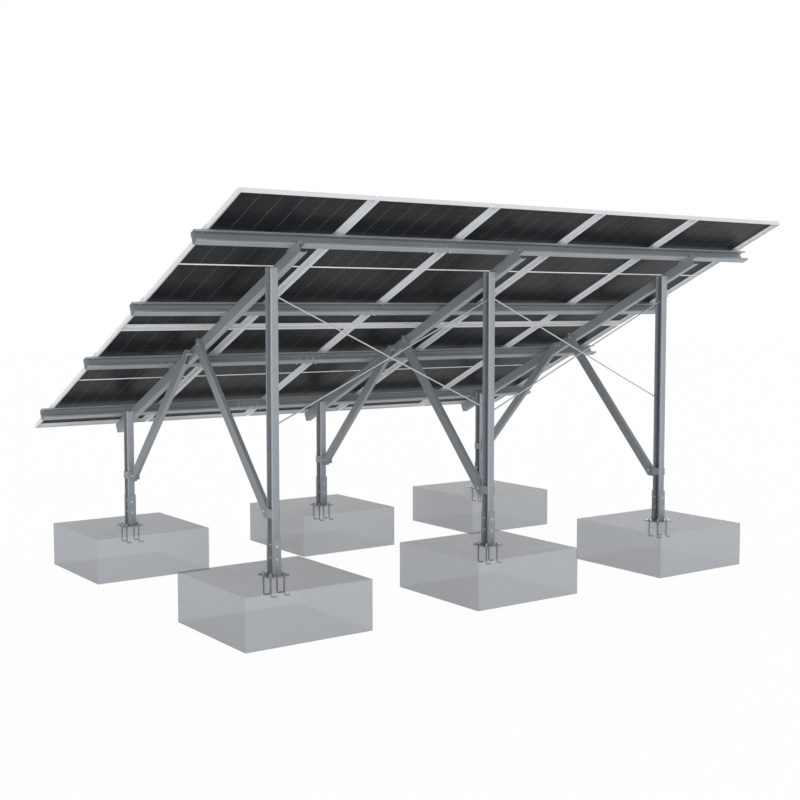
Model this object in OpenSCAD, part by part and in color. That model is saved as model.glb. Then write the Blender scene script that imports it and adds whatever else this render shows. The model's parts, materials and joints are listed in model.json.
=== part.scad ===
// Ground mount for ten solar modules: six concrete footings, three steel frames of a tall
// rear post, a short front post, a sloping beam and two braces, four purlin lines, crossed
// rods between the rear posts and two rows of five framed modules.
// X runs along the rows, Y runs towards the low front edge and Z is up. The origin is on the
// ground under the middle of the module field.

/* [Modules] */
// Width of a module, along the row
module_w = 1134; // [900:1:1400]
// Length of a module, up the slope
module_l = 2278; // [1900:1:2500]
// Height of the module frame
frame_h = 35; // [30:1:46]
// Gap between neighbouring modules
module_gap = 20; // [16:1:26]
// Tilt of the module field
tilt = 25; // [15:1:32]
// Height of the low edge of the modules over the ground
low_edge_h = 1315; // [1150:5:1600]
// Wall of the aluminium frame
frame_wall = 1.8; // [1.2:0.1:2.4]
// Width of the frame's top lip over the glass
frame_lip = 10; // [8:0.5:13]
// Width of the frame's ledge behind the laminate
frame_ledge = 44; // [30:1:50]
// Width of the frame's bottom flange
frame_foot = 8; // [6:0.5:20]
// Thickness of the glass and cell laminate
laminate_t = 5; // [4:0.5:7]

/* [Purlins] */
// Depth of a purlin
purlin_h = 95; // [85:1:120]
// Flange width of a purlin
purlin_w = 70; // [62:1:80]
// Lip of a purlin
purlin_lip = 18; // [14:1:22]
// Sheet thickness of a purlin
purlin_t = 2.5; // [2:0.1:3]
// Upper edge of a module to the first purlin's middle
purlin_inset = 570; // [480:5:620]
// Distance between the two purlins under a module
purlin_pitch = 1205; // [1100:5:1280]
// Purlin standing out past the modules at each end
purlin_overhang = 100; // [80:5:180]
// Place of the purlin joint, from the middle of the field
joint_x = -805; // [-1000:5:-700]
// Length of the joint sleeve in a purlin
sleeve_l = 270; // [240:5:340]
// Sheet thickness of the joint sleeve
sleeve_t = 3; // [2.5:0.5:4]

/* [Frames] */
// Distance between frames
bay = 2140; // [2000:10:2300]
// Web plane of the middle frame, from the middle of the field
frame_shift = -35; // [-80:5:80]
// Distance between the front and rear posts
post_span = 2740; // [2550:10:2850]
// Middle between the posts, forward of the middle of the field
post_forward = 30; // [-40:5:100]
// Depth of a post, along Y
post_h = 90; // [84:1:100]
// Width of a post, along X
post_w = 65; // [60:1:75]
// Lip of a post
post_lip = 17; // [14:1:18]
// Sheet thickness of a post
post_t = 3; // [2.5:0.1:4]
// Depth of a beam
beam_h = 90; // [85:1:110]
// Flange width of a beam
beam_w = 60; // [56:1:75]
// Lip of a beam
beam_lip = 16; // [12:1:20]
// Sheet thickness of a beam
beam_t = 2.5; // [2:0.1:3]
// High end of a beam, down the slope from the upper module edge
beam_start = 490; // [440:5:520]
// Low end of a beam, up the slope from the lower module edge
beam_end = 260; // [200:5:340]
// Post top under the top of the beam
post_top_drop = 8; // [5:1:14]
// Length of the fin on the post head
fin_l = 80; // [50:5:90]

/* [Braces] */
// Depth of a brace
brace_h = 88; // [80:1:100]
// Width of a brace, along X
brace_w = 40; // [36:1:44]
// Lip of a brace
brace_lip = 12; // [8:1:14]
// Sheet thickness of a brace
brace_t = 2.5; // [2:0.1:3]
// Rear brace meets the beam's middle line, down the slope from the upper edge
rear_head_s = 2295; // [2200:5:2320]
// Front brace meets the beam's middle line, down the slope from the upper edge
front_head_s = 2550; // [2530:5:2620]
// Rear brace axis meets the post, over the footing
rear_foot_h = 400; // [380:5:430]
// Front brace axis meets the post, over the footing
front_foot_h = 440; // [410:5:470]
// Middle of the brace bracket, over the footing
bracket_h = 487; // [450:1:520]
// Height of a brace bracket
bracket_size = 70; // [60:1:80]
// Plate thickness of a brace bracket
bracket_t = 5; // [4:0.5:6]
// Reach of the bracket's ear past the post
ear_l = 105; // [100:5:130]
// Diameter of a cross rod
rod_d = 12; // [8:1:12]
// Upper rod hole under the rear post's top
rod_drop = 209; // [160:1:260]
// Lower rod hole over the footing
rod_low_h = 1175; // [1000:5:1300]

/* [Feet] */
// Side of a concrete footing
footing_size = 1100; // [900:10:1300]
// Height of a concrete footing
footing_h = 400; // [300:10:500]
// Side of a base plate
base_size = 180; // [170:1:220]
// Thickness of a base plate
base_t = 10; // [8:1:14]
// Height of a shoe over the footing
shoe_h = 300; // [280:5:340]
// Plate thickness of a shoe
shoe_t = 6; // [5:0.5:8]
// Height of a shoe gusset
gusset_h = 70; // [50:5:90]
// Post end over the base plate
post_gap = 15; // [10:1:25]
// Diameter of an anchor bolt
anchor_d = 12; // [12:1:18]
// Anchor spacing along X
anchor_x = 120; // [118:1:130]
// Anchor spacing along Y
anchor_y = 110; // [100:1:130]
// Depth of an anchor bolt in the footing
anchor_depth = 160; // [120:5:200]
// Length of an anchor bolt's hook
anchor_hook = 50; // [45:1:70]

/* [Fasteners] */
// Diameter of an assembly bolt
bolt_d = 12; // [10:1:12]
// Diameter of a clamp bolt
clamp_bolt_d = 8; // [6:1:8]
// Length of a mid clamp, up the slope
mid_clamp_l = 60; // [40:5:68]
// Length of an end clamp, up the slope
end_clamp_l = 68; // [40:2:70]
// Thickness of a clamp
clamp_t = 4; // [3:0.5:5]
// Reach of a clamp over a module frame
clamp_reach = 8; // [5:0.5:9]

/* [Hidden] */

// Faces of a round shape
fine = 32;
// Overshoot of a cutting shape past the face that it cuts
over = 1;
// Inner bend radius of formed sheet
bend = 3;
// Room between a bolt and its hole
hole_play = 0.5;
// Room between parts that slide together
slide_play = 0.4;
// Room round an anchor in the concrete
anchor_play = 0.3;

columns = 5;
last_frame = 2;

// Fastener proportions, as shares of the bolt's diameter
head_af = 1.58;
head_share = 0.64;
nut_share = 0.85;
washer_share = 2.05;
clamp_washer_share = 1.8;
anchor_washer_share = 1.9;
rod_washer_share = 1.7;
spacer_share = 1.6;
washer_t = 2.5;
anchor_washer_t = 3;
bolt_tip = 5;
long_bolt_tip = 14;

field_w = columns * module_w + (columns - 1) * module_gap;
field_l = 2 * module_l + module_gap;

// Upper edge of the module field's top face
field_y = frame_h * sin(tilt) - (field_l * cos(tilt) + frame_h * sin(tilt)) / 2;
field_z = low_edge_h + frame_h * cos(tilt) + field_l * sin(tilt);

// Distances under the module field's top face
beam_top_d = frame_h + purlin_h;
beam_mid_d = beam_top_d + beam_h / 2;

// Point at a distance s down the slope and d under the top face
function slope_y(s, d) = field_y + s * cos(tilt) - d * sin(tilt);
function slope_z(s, d) = field_z - s * sin(tilt) - d * cos(tilt);
// Height of the plane d under the top face, at the place y
function plane_z(y, d) = field_z - (y - field_y) * tan(tilt) - d / cos(tilt);
// Distance down the slope of the point of that plane at the place y
function plane_s(y, d) = (y - field_y + d * sin(tilt)) / cos(tilt);

// Web plane of a frame: post, brace and bracket stand left of it, and the beam right of it
function web_x(i) = frame_shift + (i - 1) * bay;
function post_y(front) = post_forward + (front ? 1 : -1) * post_span / 2;
function post_x(i) = web_x(i) - post_w / 2;
function post_top(front) = plane_z(post_y(front) + post_h / 2, beam_top_d) - post_top_drop;
post_bottom = footing_h + base_t + post_gap;

// Purlins are counted from the low edge
purlin_s = [
    module_l + module_gap + purlin_inset + purlin_pitch,
    module_l + module_gap + purlin_inset,
    purlin_inset + purlin_pitch,
    purlin_inset
];
purlin_end_x = field_w / 2 + purlin_overhang;

// Brace axes in the YZ plane
rear_foot = [post_y(false) + post_h / 2, footing_h + rear_foot_h];
rear_head = [slope_y(rear_head_s, beam_mid_d), slope_z(rear_head_s, beam_mid_d)];
front_foot = [post_y(true) - post_h / 2, footing_h + front_foot_h];
front_head = [slope_y(front_head_s, beam_mid_d), slope_z(front_head_s, beam_mid_d)];
rear_lean = atan2(rear_head[0] - rear_foot[0], rear_head[1] - rear_foot[1]);
front_lean = atan2(front_head[0] - front_foot[0], front_head[1] - front_foot[1]);
bracket_z = footing_h + bracket_h;
bracket_play = 3;
bracket_bolt_z = bracket_size / 4;
rear_pin_y = rear_foot[0] + (bracket_z - rear_foot[1]) * tan(rear_lean);
front_pin_y = front_foot[0] + (bracket_z - front_foot[1]) * tan(front_lean);

// Brace ends: under the bracket, past the rear head and over the front head
brace_foot_past = 20;
rear_head_past = 5;
front_head_past = 62;
brace_foot_cut = bracket_z - bracket_size / 2 - brace_foot_past;
rear_head_cut = rear_head[0] + rear_head_past;
front_head_cut = front_head[1] + front_head_past;
head_cope = 90;

// Holes in the beam's middle line, up the slope from where the brace axes meet it
rear_bolt_back = 20;
front_bolt_back = 55;
rear_spare_back = 45;
front_spare_back = 97;
rear_bolt_s = rear_head_s - rear_bolt_back;
front_bolt_s = front_head_s - front_bolt_back;
spare_hole_s = [rear_head_s - rear_spare_back, front_head_s - front_spare_back];

// Bolts between post and beam, under the beam's middle line
head_bolt_step = 22;
head_bolt_down = 12;
head_bolt_d = beam_mid_d + head_bolt_down;

// Cross rods lie on both sides of the posts' middle plane
rod_y = 17;
rod_high_z = post_top(false) - rod_drop;
rod_low_z = footing_h + rod_low_h;
rod_lean = atan((rod_high_z - rod_low_z) / bay);
rod_tail = 45;
rod_washer_t = 9;

// Shoe bolts over the footing
shoe_bolt_z = [132, 232];
shoe_web_y = 16;
shoe_web_z = [57, 107, 157, 207, 257];
slot_l = 36;
slot_play = 1;
slot_w = bolt_d + 2 * slot_play;
short_slot_l = slot_w + 8;
gusset_w = 36;
gusset_toe = 6;
gusset_tip = 8;

// Purlin cleats stand behind the purlin webs
cleat_t = 5;
cleat_l = 80;
cleat_leg = 62;
cleat_up = 70;
cleat_bolt_x = 17;
cleat_bolt_up = 48;
cleat_foot_x = 32;
cleat_foot_s = 34;
left_slot_x = -40;
right_slot_x = 55;

// Bolts of a purlin joint, from its middle
sleeve_bolt_in = 45;
sleeve_bolt_out = sleeve_l / 2 - 30;
sleeve_bolt_x = [-sleeve_bolt_out, -sleeve_bolt_in, sleeve_bolt_in, sleeve_bolt_out];

// Clamp bolt outside the ends of the module field
clamp_out = 22;

anchor_r = anchor_d / 2;
anchor_bend = 20;
anchor_top = 32;

module rounded_box(w, h, r) {
    translate([r, 0]) square([w - 2 * r, h]);
    translate([0, r]) square([w, h - 2 * r]);
    for (x = [r, w - r], y = [r, h - r]) translate([x, y]) circle(r, $fn = fine);
}

// Outline of a lipped channel: web on x = 0, flanges towards +x, middle on y = 0
module lipped_channel(h, w, lip, t) {
    translate([0, -h / 2]) difference() {
        rounded_box(w, h, bend + t);
        translate([t, t]) rounded_box(w - 2 * t, h - 2 * t, bend);
        translate([w - t - over, lip]) square([t + 2 * over, h - 2 * lip]);
    }
}

// Outline of a plain channel: web on x = 0, flanges towards +x, middle on y = 0
module plain_channel(h, w, t) {
    translate([0, -h / 2]) intersection() {
        difference() {
            rounded_box(2 * w, h, bend + t);
            translate([t, t]) rounded_box(2 * w, h - 2 * t, bend);
        }
        square([w, h]);
    }
}

module place_on_slope() {
    translate([0, field_y, field_z]) rotate([-tilt, 0, 0]) children();
}

// Turns a cylinder that points up so that it points along +X or along +Y
module along_x() { rotate([0, 90, 0]) children(); }
module along_y() { rotate([-90, 0, 0]) children(); }

module hole(d, l) { translate([0, 0, -over]) cylinder(d = d, h = l + 2 * over, $fn = fine); }

// Hole with round ends, lengthened along x by its own length less its width
module slot(w, l, depth) {
    translate([0, 0, -over]) linear_extrude(depth + 2 * over) {
        square([l - w, w], center = true);
        for (x = [-1, 1]) translate([x * (l - w) / 2, 0]) circle(d = w, $fn = fine);
    }
}

module hex(d, h) { cylinder(d = d * head_af / cos(30), h = h, $fn = 6); }

// Bolt with its washers and nut tightened over a grip from z = 0 up, its head below
module bolt_set(d, grip, washer = washer_share, tip = bolt_tip) {
    nut_h = d * nut_share;
    head_h = d * head_share;
    union() {
        translate([0, 0, -washer_t - head_h]) hex(d, head_h);
        translate([0, 0, -washer_t]) cylinder(d = d * washer, h = washer_t, $fn = fine);
        translate([0, 0, -washer_t]) cylinder(d = d, h = grip + 2 * washer_t + nut_h + tip, $fn = fine);
        translate([0, 0, grip]) cylinder(d = d * washer, h = washer_t, $fn = fine);
        translate([0, 0, grip + washer_t]) hex(d, nut_h);
    }
}

// Anchor bolt with its hook towards +X, from the footing's top down and through the plate
module anchor_shape(r) {
    down = anchor_depth - anchor_bend - r;
    translate([0, 0, -down]) cylinder(r = r, h = down + anchor_top, $fn = fine);
    translate([anchor_bend, 0, -down]) rotate([90, 0, 0])
        rotate_extrude(angle = 90, start = 180, $fn = 2 * fine) translate([anchor_bend, 0]) circle(r, $fn = fine);
    translate([anchor_bend, 0, -down - anchor_bend]) along_x()
        cylinder(r = r, h = anchor_hook - anchor_bend, $fn = fine);
}

module at_anchors() {
    for (x = [-1, 1], y = [-1, 1]) translate([x * anchor_x / 2, y * anchor_y / 2, 0]) children();
}

module at_feet() {
    for (i = [0 : last_frame], front = [false, true])
        translate([post_x(i), post_y(front), footing_h]) children();
}

module footing(i, front) {
    color("#a3a7a9") translate([post_x(i), post_y(front), 0]) difference() {
        translate([-footing_size / 2, -footing_size / 2, 0]) cube([footing_size, footing_size, footing_h]);
        translate([0, 0, footing_h]) at_anchors() anchor_shape(anchor_r + anchor_play);
    }
}

module anchor_bolts() {
    color("#8d9196") at_feet() at_anchors() anchor_shape(anchor_r);
}

module anchor_nuts() {
    nut_h = anchor_d * nut_share;
    color("#b9bdc1") at_feet() at_anchors() translate([0, 0, base_t]) difference() {
        union() {
            cylinder(d = anchor_d * anchor_washer_share, h = anchor_washer_t, $fn = fine);
            translate([0, 0, anchor_washer_t]) hex(anchor_d, nut_h);
        }
        hole(anchor_d + 2 * anchor_play, 2 * nut_h);
    }
}

module shoe_gusset() {
    rotate([90, 0, 0]) translate([0, 0, -shoe_t / 2]) linear_extrude(shoe_t)
        polygon([[0, 0], [gusset_w, 0], [gusset_w, gusset_toe], [gusset_tip, gusset_h], [0, gusset_h]]);
}

// Shoe: base plate with an upright channel, open on the left, that holds the post's foot
module shoe(i, front) {
    inner = post_h / 2 + slide_play;
    outer = inner + shoe_t;
    web = post_w / 2;
    color("#8f969e") translate([post_x(i), post_y(front), footing_h]) difference() {
        union() {
            translate([-base_size / 2, -base_size / 2, 0]) cube([base_size, base_size, base_t]);
            translate([-web, -outer, 0]) cube([post_w + shoe_t, 2 * outer, shoe_h]);
            translate([web + shoe_t, 0, base_t]) shoe_gusset();
            for (a = [90, -90]) rotate([0, 0, a]) translate([outer, 0, base_t]) shoe_gusset();
        }
        translate([-web - over, -inner, base_t]) cube([post_w + over, 2 * inner, shoe_h]);
        at_anchors() hole(anchor_d + 4 * hole_play, base_t);
        for (z = shoe_bolt_z) translate([0, -outer, z]) along_y() hole(bolt_d + 2 * hole_play, 2 * outer);
        for (z = shoe_web_z) translate([web, shoe_web_y, z]) along_x() hole(bolt_d + 2 * hole_play, shoe_t);
    }
}

// Post: channel with its web on the right, open on the left, and a fin behind its head
module post(i, front) {
    x = web_x(i);
    y = post_y(front);
    top = post_top(front);
    s = plane_s(y, head_bolt_d);
    color("#939aa3") difference() {
        union() {
            translate([x, y, post_bottom]) mirror([1, 0, 0])
                linear_extrude(top - post_bottom) lipped_channel(post_h, post_w, post_lip, post_t);
            post_fin(i, front);
        }
        for (z = shoe_bolt_z) translate([x - post_w / 2, y - post_h / 2, footing_h + z])
            along_y() hole(bolt_d + 2 * hole_play, post_h);
        for (z = shoe_web_z) translate([x - post_t, y + shoe_web_y, footing_h + z])
            along_x() slot(slot_w, slot_l, post_t);
        for (z = [-1, 1]) translate([x - post_t, y, bracket_z + z * bracket_bolt_z])
            along_x() hole(bolt_d + 2 * hole_play, post_t);
        for (k = [-1, 1]) place_on_slope() translate([x - post_t, s + k * head_bolt_step, -head_bolt_d])
            along_x() hole(bolt_d + 2 * hole_play, post_t);
        if (!front) rod_holes(i);
    }
}

// Fin on the rear side of a post's head, flat against the beam's web
module post_fin(i, front) {
    y = post_y(front) - post_h / 2;
    top = post_top(front);
    intersection() {
        translate([web_x(i) - post_t, y - fin_l, top - post_h]) cube([post_t, fin_l + over, post_h]);
        place_on_slope() translate([web_x(i) - post_w, 0, -beam_top_d - beam_h + bend])
            cube([2 * post_w, field_l, beam_h - 2 * bend]);
    }
}

// Direction of a rod: 1 falls towards +X and -1 rises towards +X
module rod_line(i, dir) {
    z = dir > 0 ? rod_high_z : rod_low_z;
    translate([web_x(i), post_y(false) + dir * rod_y, z]) rotate([0, 90 + dir * rod_lean, 0]) children();
}

rod_l = bay / cos(rod_lean);

// Holes where the rods of the bays on both sides pass through the web of a rear post
module rod_holes(i) {
    reach = 4 * post_t;
    for (dir = [1, -1]) {
        if (i < last_frame) rod_line(i, dir) translate([0, 0, -reach]) hole(rod_d + 2 * hole_play, 2 * reach);
        if (i > 0) rod_line(i - 1, dir) translate([0, 0, rod_l - reach])
            hole(rod_d + 2 * hole_play, 2 * reach);
    }
}

module cross_rods() {
    color("#b4b8bb") for (i = [0 : last_frame - 1], dir = [1, -1])
        rod_line(i, dir) translate([0, 0, -rod_tail]) cylinder(d = rod_d, h = rod_l + 2 * rod_tail, $fn = fine);
}

// Washer and nut of a rod, on the side of z = 0 that looks along -1 or 1
module rod_nut(side) {
    deep = rod_washer_t + rod_d * tan(rod_lean);
    difference() {
        union() {
            translate([0, 0, side > 0 ? -deep : 0]) cylinder(d = rod_d * rod_washer_share, h = deep, $fn = fine);
            translate([0, 0, side > 0 ? 0 : -rod_d * nut_share]) hex(rod_d, rod_d * nut_share);
        }
        translate([0, 0, -2 * deep]) cylinder(d = rod_d + 2 * hole_play, h = 4 * deep, $fn = fine);
    }
}

module rod_nuts() {
    deep = rod_washer_t + rod_d * tan(rod_lean);
    away = rod_washer_t + post_t;
    color("#c3c6c8") for (i = [0 : last_frame - 1], dir = [1, -1]) {
        difference() {
            rod_line(i, dir) translate([0, 0, -away - rod_d * tan(rod_lean)]) rod_nut(-1);
            translate([web_x(i) - post_t, post_y(false) - post_h / 2, 0]) cube([post_w, post_h, field_z]);
        }
        difference() {
            rod_line(i, dir) translate([0, 0, rod_l + deep]) rod_nut(1);
            translate([web_x(i + 1) - post_w, post_y(false) - post_h / 2, 0]) cube([post_w, post_h, field_z]);
        }
    }
}

// Beam: channel with its web on the left, lying under the purlins
module beam(i) {
    length = field_l - beam_start - beam_end;
    color("#7f8286") difference() {
        place_on_slope() translate([web_x(i), beam_start + length, -beam_mid_d]) rotate([90, 0, 0])
            linear_extrude(length) lipped_channel(beam_h, beam_w, beam_lip, beam_t);
        for (front = [false, true], k = [-1, 1]) place_on_slope()
            translate([web_x(i), plane_s(post_y(front), head_bolt_d) + k * head_bolt_step, -head_bolt_d])
                along_x() hole(bolt_d + 2 * hole_play, beam_t);
        for (s = [rear_bolt_s, front_bolt_s]) place_on_slope()
            translate([web_x(i), s, -beam_mid_d]) along_x() hole(bolt_d + 2 * hole_play, beam_t);
        for (s = spare_hole_s) place_on_slope()
            translate([web_x(i), s, -beam_mid_d]) along_x() rotate([0, 0, 90]) slot(slot_w, short_slot_l, beam_t);
        for (s = purlin_s) place_on_slope()
            translate([web_x(i) + cleat_foot_x, s + purlin_w / 2 + cleat_foot_s, -beam_top_d - beam_t])
                hole(bolt_d + 2 * hole_play, beam_t);
    }
}

// Full length of a brace along its own axis, its lips on the web plane of the frame
module brace_bar(i, foot, lean, length) {
    translate([web_x(i) - brace_w, foot[0], foot[1]]) rotate([-lean, 0, 0]) translate([0, 0, -brace_h])
        linear_extrude(length + 3 * brace_h) lipped_channel(brace_h, brace_w, brace_lip, brace_t);
}

module rear_brace(i) {
    length = norm(rear_head - rear_foot);
    start = rear_foot[0] + bracket_t + bracket_play;
    color("#85898d") difference() {
        intersection() {
            brace_bar(i, rear_foot, rear_lean, length);
            translate([web_x(i) - 2 * brace_w, start, brace_foot_cut])
                cube([4 * brace_w, rear_head_cut - start, length]);
            under_beam_top();
        }
        brace_holes(i, rear_pin_y, rear_bolt_s);
    }
}

module front_brace(i) {
    length = norm(front_head - front_foot);
    start = front_foot[0] - bracket_t - bracket_play;
    color("#85898d") difference() {
        intersection() {
            brace_bar(i, front_foot, front_lean, length);
            translate([web_x(i) - 2 * brace_w, start - length, brace_foot_cut])
                cube([4 * brace_w, length, front_head_cut - brace_foot_cut]);
            under_beam_top();
        }
        brace_holes(i, front_pin_y, front_bolt_s);
        translate([web_x(i) - brace_w, front_foot[0], front_foot[1]]) rotate([-front_lean, 0, 0])
            translate([brace_t, -brace_h, length - head_cope / 2])
                cube([brace_w, brace_h / 2 + brace_lip + over, length]);
    }
}

// Everything lower than the beams' top faces
module under_beam_top() {
    place_on_slope() translate([-field_w, 0, -beam_top_d - field_l]) cube([2 * field_w, field_l, field_l]);
}

module brace_holes(i, pin_y, s) {
    x = web_x(i) - brace_w;
    translate([x, pin_y, bracket_z]) along_x() hole(bolt_d + 2 * hole_play, brace_t);
    place_on_slope() translate([x, s, -beam_mid_d]) along_x() hole(bolt_d + 2 * hole_play, brace_t);
}

// Bracket round three sides of a post, with an ear on the right for the brace
module brace_bracket(i, front, pin_y) {
    side = front ? -1 : 1;
    x = post_w / 2;
    y = post_h / 2;
    color("#8b9199") difference() {
        translate([post_x(i), post_y(front), bracket_z - bracket_size / 2]) mirror([0, front ? 1 : 0, 0]) {
            translate([-x - bracket_t, -y, 0]) cube([bracket_t, post_h, bracket_size]);
            translate([-x - bracket_t, y, 0]) cube([post_w + bracket_t, bracket_t, bracket_size]);
            translate([x, -y, 0]) cube([bracket_t, post_h + ear_l, bracket_size]);
        }
        for (z = [-1, 1]) translate([web_x(i), post_y(front), bracket_z + z * bracket_bolt_z])
            along_x() hole(bolt_d + 2 * hole_play, bracket_t);
        translate([web_x(i), pin_y, bracket_z]) along_x() hole(bolt_d + 2 * hole_play, bracket_t);
    }
}

module brace_brackets() {
    for (i = [0 : last_frame]) {
        brace_bracket(i, false, rear_pin_y);
        brace_bracket(i, true, front_pin_y);
    }
}

// Purlin length between two places: web on the low side, flanges towards the high edge
module purlin(n, x1, x2) {
    s = purlin_s[n - 1];
    color("#8a9096") difference() {
        place_on_slope() translate([x1, s + purlin_w / 2, -frame_h - purlin_h / 2]) rotate([90, 0, 90])
            mirror([1, 0, 0]) linear_extrude(x2 - x1)
                lipped_channel(purlin_h, purlin_w, purlin_lip, purlin_t);
        for (i = [0 : last_frame]) if (web_x(i) > x1 && web_x(i) < x2) place_on_slope() {
            at_cleat_bolt(i, s) hole(bolt_d + 2 * hole_play, purlin_t);
            for (x = [left_slot_x, right_slot_x])
                translate([web_x(i) + x, s + purlin_w / 2 - purlin_t, -beam_top_d + cleat_bolt_up])
                    along_y() slot(slot_w, slot_l, purlin_t);
        }
        for (x = sleeve_bolt_x) if (joint_x + x > x1 && joint_x + x < x2) place_on_slope() {
            at_sleeve_web(x, s) hole(bolt_d + 2 * hole_play, purlin_t);
            at_sleeve_flange(x, s) hole(bolt_d + 2 * hole_play, purlin_t);
        }
        for (c = [0 : columns]) if (clamp_x(c) > x1 && clamp_x(c) < x2) place_on_slope()
            translate([clamp_x(c), s, -frame_h - purlin_t]) hole(clamp_bolt_d + 2 * hole_play, purlin_t);
    }
}

// Places on the inner face of a purlin's web and on its lower flange
module at_cleat_bolt(i, s) {
    translate([web_x(i) + cleat_bolt_x, s + purlin_w / 2 - purlin_t, -beam_top_d + cleat_bolt_up])
        along_y() children();
}
module at_sleeve_web(x, s) {
    translate([joint_x + x, s + purlin_w / 2 - purlin_t, -frame_h - purlin_h / 2]) along_y() children();
}
module at_sleeve_flange(x, s) {
    translate([joint_x + x, s, -beam_top_d]) children();
}

// Angle cleat from the beam's top face up behind the purlin's web
module purlin_cleats() {
    color("#8b9199") for (i = [0 : last_frame], s = purlin_s) place_on_slope() difference() {
        translate([web_x(i) - cleat_t, s + purlin_w / 2, -beam_top_d]) {
            cube([cleat_l, cleat_leg, cleat_t]);
            cube([cleat_l, cleat_t, cleat_up]);
        }
        at_cleat_bolt(i, s) hole(bolt_d + 2 * hole_play, purlin_t + cleat_t);
        translate([web_x(i) + cleat_foot_x, s + purlin_w / 2 + cleat_foot_s, -beam_top_d])
            hole(bolt_d + 2 * hole_play, cleat_t);
        translate([web_x(i) + right_slot_x, s + purlin_w / 2, -beam_top_d + cleat_bolt_up])
            along_y() slot(slot_w, slot_l, cleat_t);
    }
}

// Sleeve channel nested in both purlin lengths at their joint
module purlin_splices() {
    h = purlin_h - 2 * purlin_t - slide_play;
    w = purlin_w - 2 * purlin_t - bend - slide_play;
    color("#9aa0a6") for (s = purlin_s) place_on_slope() difference() {
        translate([joint_x - sleeve_l / 2, s + purlin_w / 2 - purlin_t, -beam_top_d + purlin_t + h / 2])
            rotate([90, 0, 90]) mirror([1, 0, 0]) linear_extrude(sleeve_l) plain_channel(h, w, sleeve_t);
        for (x = sleeve_bolt_x) {
            at_sleeve_web(x, s) translate([0, 0, -sleeve_t]) hole(bolt_d + 2 * hole_play, sleeve_t);
            at_sleeve_flange(x, s) translate([0, 0, purlin_t]) hole(bolt_d + 2 * hole_play, sleeve_t);
        }
    }
}

// Place of a clamp: 0 and the last are the ends of the field, and the others its gaps
function clamp_x(c) =
    c == 0 ? -field_w / 2 - clamp_out :
    c == columns ? field_w / 2 + clamp_out :
    -field_w / 2 + c * (module_w + module_gap) - module_gap / 2;

// Hat-shaped clamp in the gap between two modules, with its bolt
module mid_clamps() {
    wing = module_gap / 2 + clamp_reach;
    neck = module_gap / 2 - slide_play;
    sink = frame_h / 2;
    color("#c9cbcc") for (c = [1 : columns - 1], s = purlin_s) place_on_slope()
        translate([clamp_x(c), s, 0]) difference() {
            rotate([90, 0, 0]) translate([0, 0, -mid_clamp_l / 2]) linear_extrude(mid_clamp_l) polygon([
                [-wing, 0], [-neck, 0], [-neck, -sink], [neck, -sink], [neck, 0], [wing, 0],
                [wing, clamp_t], [neck - clamp_t / 2, clamp_t], [neck - clamp_t / 2, clamp_t - sink],
                [clamp_t / 2 - neck, clamp_t - sink], [clamp_t / 2 - neck, clamp_t], [-wing, clamp_t]
            ]);
            translate([0, 0, -sink]) hole(clamp_bolt_d + 2 * hole_play, clamp_t);
        }
}

// Z-shaped clamp at the ends of the field: foot on the purlin and lip on the module
module end_clamps() {
    color("#c9cbcc") for (end = [0, columns], s = purlin_s) place_on_slope()
        translate([end == 0 ? -field_w / 2 : field_w / 2, s, 0]) mirror([end == 0 ? 0 : 1, 0, 0])
            difference() {
                rotate([90, 0, 0]) translate([0, 0, -end_clamp_l / 2]) linear_extrude(end_clamp_l) polygon([
                    [-2 * clamp_out, -frame_h], [-slide_play, -frame_h], [-slide_play, 0], [clamp_reach, 0],
                    [clamp_reach, clamp_t], [-slide_play - clamp_t, clamp_t],
                    [-slide_play - clamp_t, clamp_t - frame_h], [-2 * clamp_out, clamp_t - frame_h]
                ]);
                translate([-clamp_out, 0, -frame_h]) hole(clamp_bolt_d + 2 * hole_play, clamp_t);
            }
}

// Rail of a module frame of a given length along +x: its outer face is on y = 0
module frame_rail(length) {
    ledge_top = frame_h - frame_wall - laminate_t - 2 * slide_play;
    translate([0, 0, -frame_h]) intersection() {
        rotate([90, 0, 90]) linear_extrude(length) {
            square([frame_wall, frame_h]);
            square([frame_foot, frame_wall]);
            translate([0, ledge_top - frame_wall]) square([frame_ledge, frame_wall]);
            translate([0, frame_h - frame_wall]) square([frame_lip, frame_wall]);
        }
        linear_extrude(frame_h) polygon([
            [0, 0], [length, 0], [length - frame_ledge, frame_ledge], [frame_ledge, frame_ledge]
        ]);
    }
}

// Frame of a module: four rails, mitred at the corners
module module_frame(row, c) {
    x = -field_w / 2 + (c - 1) * (module_w + module_gap);
    s = row == 0 ? 0 : module_l + module_gap;
    color("#dfe1e2") place_on_slope() translate([x, s, 0]) {
        frame_rail(module_w);
        translate([module_w, module_l, 0]) rotate([0, 0, 180]) frame_rail(module_w);
        translate([0, module_l, 0]) rotate([0, 0, -90]) frame_rail(module_l);
        translate([module_w, 0, 0]) rotate([0, 0, 90]) frame_rail(module_l);
    }
}

// Glass and cell laminates of the two modules in a column
module laminates(c) {
    x = -field_w / 2 + (c - 1) * (module_w + module_gap);
    inset = frame_wall + slide_play;
    color("#2b2d2d") for (s = [0, module_l + module_gap]) place_on_slope()
        translate([x + inset, s + inset, -frame_wall - slide_play - laminate_t])
            cube([module_w - 2 * inset, module_l - 2 * inset, laminate_t]);
}

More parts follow.
